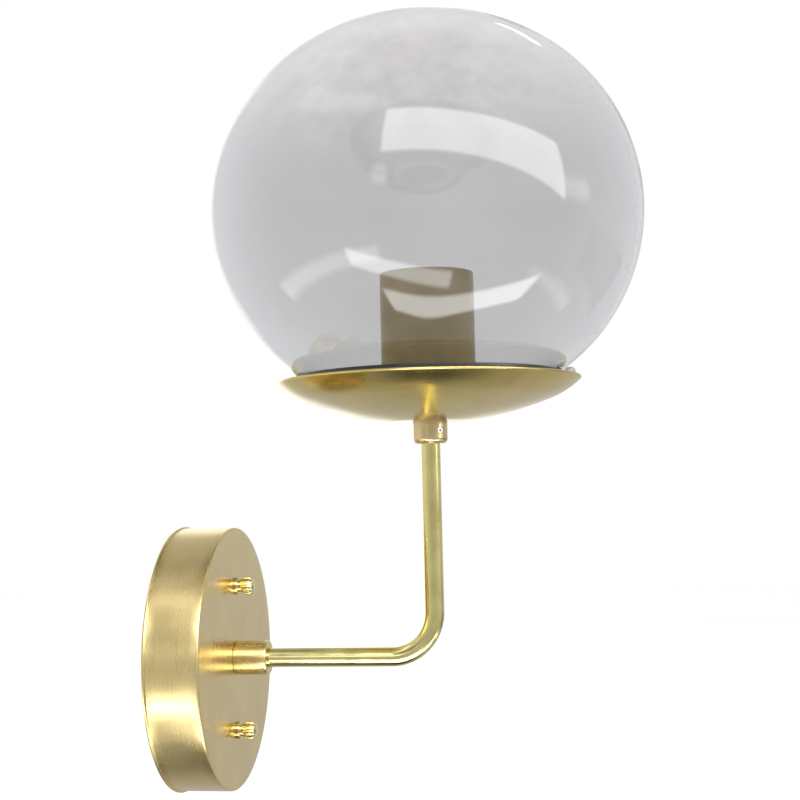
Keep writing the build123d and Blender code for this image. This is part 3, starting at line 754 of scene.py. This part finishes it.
# ---- Glass globe -----------------------------------------------------------------------------
# Clear glass blown in a mould: slightly flatter than a ball, a little wavy inside, and cut and
# fire polished at its mouth. It only stands in the rubber seat and lifts off.
globe_radius = 0.09998
globe_half_height = 0.0928
globe_mouth = 0.0585
glass_wall = 0.0022
side_arc_radius = globe_half_height * (globe_radius + globe_half_height) / (2 * globe_radius)
side_arc_offset = globe_radius - side_arc_radius
crown_arc_radius = globe_radius**2 / globe_half_height
crown_arc_drop = crown_arc_radius - globe_half_height
globe_middle = glass_base + (side_arc_radius**2 - (globe_mouth - side_arc_offset) ** 2) ** 0.5


def globe_outline(rows=120):
    """Closed section of the globe: the outer wall from the mouth to the top, the inner one back
    down and a round edge at the mouth. Each wall is a side arc about a point beside the axis and
    a crown arc about a point on the axis, and the two arcs share a tangent where they meet."""
    meet = np.arctan2(crown_arc_drop, side_arc_offset)
    walls = []
    for inset in (0, glass_wall):
        radius = side_arc_radius - inset
        start = np.arcsin((glass_base + glass_wall / 2 - globe_middle) / radius)
        turn = np.linspace(start, meet, rows, endpoint=False)
        across = side_arc_offset + radius * np.cos(turn)
        side = np.stack([across, globe_middle + radius * np.sin(turn)], 1)
        turn = np.linspace(meet, pi / 2, rows // 2)
        radius = crown_arc_radius - inset
        level = globe_middle - crown_arc_drop
        crown = np.stack([radius * np.cos(turn), level + radius * np.sin(turn)], 1)
        crown[-1, 0] = 0
        walls.append(np.concatenate([side, crown]))
    outer, inner = walls
    middle = (outer[0] + inner[0]) / 2
    reach_out = outer[0] - middle
    down = np.array([reach_out[1], -reach_out[0]])
    turn = np.linspace(0, pi, 12)[1:-1]
    edge = middle - np.cos(turn)[:, None] * reach_out + np.sin(turn)[:, None] * down
    return np.concatenate([outer, inner[::-1], edge])


glass, glass_tree, glass_shader = plain_material(
    "clear glass", Transmission_Weight=1.0, IOR=1.5, Roughness=0.0
)
glass_place = add_node(glass_tree, "TexCoord").outputs["Object"]
glass_wave = add_node(glass_tree, "TexNoise", Vector=glass_place, Scale=22.0, Detail=1.5, Roughness=0.45)
glass_height = add_node(glass_tree, "SeparateXYZ", glass_place).outputs[2]
# Painted highlight: a warm near-white mottled tint over the top of the globe, fading in from 0.235 to
# 0.285 m up.
painted_top_highlight_mask = add_node(
    glass_tree, "MapRange", Value=glass_height, From_Min=0.235, From_Max=0.285,
    interpolation_type="SMOOTHSTEP",
).outputs[0]
painted_highlight_mottle = add_node(
    glass_tree, "TexNoise", Vector=glass_place, Scale=60.0, Detail=4.0, Roughness=0.65
)
painted_top_highlight = add_node(
    glass_tree, "MapRange", Value=painted_highlight_mottle.outputs["Fac"], From_Min=0.1, From_Max=0.75
).outputs[0]
painted_top_highlight = add_node(glass_tree, "Math", painted_top_highlight_mask, painted_top_highlight, operation="MULTIPLY").outputs[0]
glass_grey = add_node(
    glass_tree, "MixRGB", glass_wave.outputs["Fac"], (0.67, 0.67, 0.675, 1), (0.73, 0.728, 0.732, 1)
)
glass_with_painted_highlight = add_node(glass_tree, "MixRGB", painted_top_highlight, glass_grey.outputs[0], (0.98, 0.955, 0.935, 1))
# Painted sheen: the colour turns paler where the glass is seen edge on.
painted_edge_sheen = add_node(glass_tree, "LayerWeight", Blend=0.5).outputs["Facing"]
painted_edge_sheen = add_node(
    glass_tree, "MapRange", Value=painted_edge_sheen, From_Min=0.25, From_Max=0.95, To_Max=0.8
).outputs[0]
glass_colour = add_node(glass_tree, "MixRGB", painted_edge_sheen, glass_with_painted_highlight.outputs[0], (0.93, 0.94, 0.96, 1))
glass_tree.links.new(glass_colour.outputs[0], glass_shader.inputs["Base Color"])
glass_bump = add_node(glass_tree, "Bump", Strength=0.12, Distance=0.001, Height=glass_wave.outputs["Fac"])
glass_tree.links.new(glass_bump.outputs[0], glass_shader.inputs["Normal"])
globe = turned("blown_globe", globe_outline(), head_centre, upright, 320)
globe.visible_shadow = False
dress(globe, "globe", "glass_globe", glass)


# ---- Camera, floor, studio room and light ----------------------------------------------------
# A view from the sconce's left side, level with the middle of the arm's upright, on a white
# ground. One soft window lights it, and brass and glass mirror a pale room with light strips.
camera_place = Vector((-0.6994, -0.2288, 0.0668))
camera_yaw, camera_pitch, camera_roll = radians(-79.91), radians(4.01), radians(-1.35)
forward = Vector((
    -sin(camera_yaw) * cos(camera_pitch),
    cos(camera_yaw) * cos(camera_pitch),
    sin(camera_pitch),
))
level = forward.cross(Vector((0, 0, 1))).normalized()
above = level.cross(forward)
right = level * cos(camera_roll) + above * sin(camera_roll)
top = above * cos(camera_roll) - level * sin(camera_roll)
camera_data = bpy.data.cameras.new("camera")
camera_data.sensor_width = 36.0
camera_data.lens = 69.88
camera_data.clip_start = 0.02
camera = bpy.data.objects.new("camera", camera_data)
camera_turn = Matrix((right, top, -forward)).transposed().to_4x4()
camera.matrix_world = Matrix.Translation(camera_place) @ camera_turn
bpy.context.scene.collection.objects.link(camera)
bpy.context.scene.camera = camera

scene = bpy.context.scene
scene.view_settings.view_transform = "Standard"


def seen_white(tree, background_strength):
    """1 for rays that should meet the white ground: camera, mirror and glass rays."""
    path = add_node(tree, "LightPath").outputs
    some = add_node(tree, "Math", path["Is Camera Ray"], path["Is Glossy Ray"], operation="MAXIMUM")
    seen = add_node(tree, "Math", some.outputs[0], path["Is Transmission Ray"], operation="MAXIMUM")
    return add_node(
        tree, "MapRange", Value=seen.outputs[0], To_Min=background_strength, To_Max=1.0
    ).outputs[0]


world = bpy.data.worlds.new("white studio")
world.use_nodes = True
scene.world = world
background = world.node_tree.nodes["Background"]
background.inputs["Color"].default_value = (1, 1, 1, 1)
world_light = 0.55
world.node_tree.links.new(seen_white(world.node_tree, world_light), background.inputs["Strength"])


floor_level = -0.35
floor_half = 7.0
floor_light = 0.5
floor_corners = [
    (side * floor_half, depth * floor_half, floor_level)
    for side, depth in ((-1, 1), (1, 1), (1, -1), (-1, -1))
]
floor_mesh = bpy.data.meshes.new("floor")
floor_mesh.from_pydata(floor_corners, [], [(0, 1, 2, 3)])
floor = bpy.data.objects.new("floor", floor_mesh)
scene.collection.objects.link(floor)
floor_paint, floor_tree, floor_shader = plain_material(
    "pale floor", Base_Color=(0.8, 0.8, 0.8, 1), Roughness=0.9
)
floor_path = seen_white(floor_tree, 0.0)
floor_shader.inputs["Emission Color"].default_value = (1, 1, 1, 1)
floor_glow = add_node(floor_tree, "Math", floor_path, floor_light, operation="MULTIPLY")
floor_tree.links.new(floor_glow.outputs[0], floor_shader.inputs["Emission Strength"])
floor.data.materials.append(floor_paint)
floor.visible_glossy = False


def studio_room(radius=5.0, rows=48, steps=96):
    """Inside of a ball about the sconce that stands for the studio's walls in mirror rays only:
    rings of equal elevation and steps of equal azimuth."""
    rise = np.linspace(-pi / 2, pi / 2, rows)
    turn = np.arange(steps) / steps * 2 * pi
    points = np.stack([
        np.cos(rise)[:, None] * np.sin(turn),
        -np.cos(rise)[:, None] * np.cos(turn),
        np.repeat(np.sin(rise)[:, None], steps, axis=1),
    ], 2)
    index = np.arange(rows * steps).reshape(rows, steps)
    index[0], index[-1] = index[0, 0], index[-1, 0]
    below = np.roll(index, -1, axis=1)
    faces = np.stack([index[:-1], below[:-1], below[1:], index[1:]], 2).reshape(-1, 4)
    piece = make_mesh("studio_room", radius * points.reshape(-1, 3), faces)
    piece.visible_camera = False
    piece.visible_diffuse = False
    piece.visible_transmission = False
    piece.visible_shadow = False
    return piece


def soft_step(tree, value, start, end):
    """0 before the start, 1 past the end and a smooth rise between them."""
    return add_node(
        tree, "MapRange", Value=value, From_Min=start, From_Max=end, interpolation_type="SMOOTHSTEP"
    ).outputs[0]


room = studio_room()
room_paint, room_tree, room_shader = plain_material(
    "studio room", Base_Color=(0, 0, 0, 1), Roughness=1.0
)
room_place = add_node(room_tree, "TexCoord").outputs["Object"]
room_way = add_node(room_tree, "VectorMath", room_place, operation="NORMALIZE").outputs[0]
room_parts = add_node(room_tree, "SeparateXYZ", room_way).outputs
room_elevation = add_node(room_tree, "Math", room_parts[2], operation="ARCSINE").outputs[0]
room_depth = add_node(room_tree, "Math", room_parts[1], -1.0, operation="MULTIPLY").outputs[0]
room_azimuth = add_node(room_tree, "Math", room_parts[0], room_depth, operation="ARCTAN2").outputs[0]
room_share = add_node(
    room_tree, "MapRange", Value=room_elevation, From_Min=-pi / 2, From_Max=pi / 2
).outputs[0]
room_ramp = add_node(room_tree, "ValToRGB", Fac=room_share)
# Elevation in degrees and the room's brightness there.
room_levels = (
    (-90, 0.03), (-80, 0.05), (-70, 0.25), (-58, 0.5), (-40, 0.62), (-12, 0.66), (0, 0.72), (25, 0.70),
    (52, 0.62), (68, 0.55), (78, 0.16), (90, 0.08),
)
stops = room_ramp.color_ramp.elements
while len(stops) < len(room_levels):
    stops.new(0.5)
for stop, (elevation, grey) in zip(stops, room_levels):
    stop.position = (elevation + 90) / 180
    stop.color = (grey, grey, grey, 1)
away = add_node(room_tree, "Math", room_azimuth, operation="ABSOLUTE").outputs[0]
room_back = soft_step(room_tree, away, radians(115), radians(160))
back_gain = 0.4
room_gain = add_node(room_tree, "Math", room_back, back_gain, 1.0, operation="MULTIPLY_ADD").outputs[0]
room_glow = add_node(
    room_tree, "Math", room_ramp.outputs["Color"], room_gain, operation="MULTIPLY"
).outputs[0]


def bright_band(tree, azimuth, elevation, start, end, middle, level, bend, half_height, softness):
    """Mask of a window or a strip between two azimuths. Its middle line runs at the level and
    bends away from it by the square of the azimuth's distance from the middle."""
    off = add_node(tree, "Math", azimuth, radians(-middle), operation="ADD").outputs[0]
    off = add_node(tree, "Math", off, 2.0, operation="POWER").outputs[0]
    line = add_node(tree, "Math", off, degrees(bend), radians(level), operation="MULTIPLY_ADD").outputs[0]
    rise = add_node(tree, "Math", elevation, line, operation="SUBTRACT").outputs[0]
    rise = add_node(tree, "Math", rise, operation="ABSOLUTE").outputs[0]
    soft = radians(softness)
    mask = soft_step(tree, rise, radians(half_height) + soft, radians(half_height) - soft)
    for near, far in ((start - softness, start + softness), (end + softness, end - softness)):
        side = soft_step(tree, azimuth, radians(near), radians(far))
        mask = add_node(tree, "Math", mask, side, operation="MULTIPLY").outputs[0]
    return mask


# Windows, light strips and dark shapes: glow, then the values of bright_band in degrees.
for glow, *band in (
    (6.0, -101, -7, -88, 36, -0.0033, 12, 1.5),
    (8.0, -112, -7, -75, -65, 0.0055, 7, 2),
    (6.0, -125, -62, -62, -47, 0.0045, 5, 2),
    (2.8, -179, -106, -140, -30, 0.0, 4, 3),
    (1.1, -170, -112, -125, 51, 0.0, 5, 3),
    (2.0, -105, -98, -102, 12, 0.0, 5, 2),
    (2.0, -8, 9, 0, 8, 0.0, 4, 3),
    (1.5, -15, 27, 5, -33, 0.0, 3, 3),
    (1.0, 92, 135, 105, 12, 0.0, 24, 5),
    (5.0, 66, 80, 73, 46, 0.0, 1, 1),
    (-0.24, -105, -50, -80, 0, 0.0, 1, 14),
    (-0.35, -128, -105, -115, 24, 0.0, 12, 5),
    (-0.2, -150, -112, -130, -60, 0.0, 10, 5),
    (-0.35, 12, 50, 30, -12, 0.0, 9, 2),
):
    mask = bright_band(room_tree, room_azimuth, room_elevation, *band)
    room_glow = add_node(room_tree, "Math", mask, glow, room_glow, operation="MULTIPLY_ADD").outputs[0]
room_shader.inputs["Emission Color"].default_value = (0.96, 0.975, 1, 1)
room_tree.links.new(room_glow, room_shader.inputs["Emission Strength"])
room.data.materials.append(room_paint)


def softbox(name, centre, target, width, height, power):
    """Rectangular area light that faces a target and shows neither to the camera nor in mirrors."""
    data = bpy.data.lights.new(name, "AREA")
    data.shape = "RECTANGLE"
    data.size, data.size_y = width, height
    data.energy = power
    lamp = bpy.data.objects.new(name, data)
    away = Vector(centre) - Vector(target)
    lamp.rotation_mode = "QUATERNION"
    lamp.rotation_quaternion = away.to_track_quat("Z", "Y")
    lamp.location = centre
    lamp.visible_camera = False
    lamp.visible_transmission = False
    lamp.visible_glossy = False
    scene.collection.objects.link(lamp)


globe_centre = Vector((0, -reach, 0.2))
softbox("window", (-1.15, -0.85, 0.95), globe_centre, width=2.4, height=0.85, power=26)
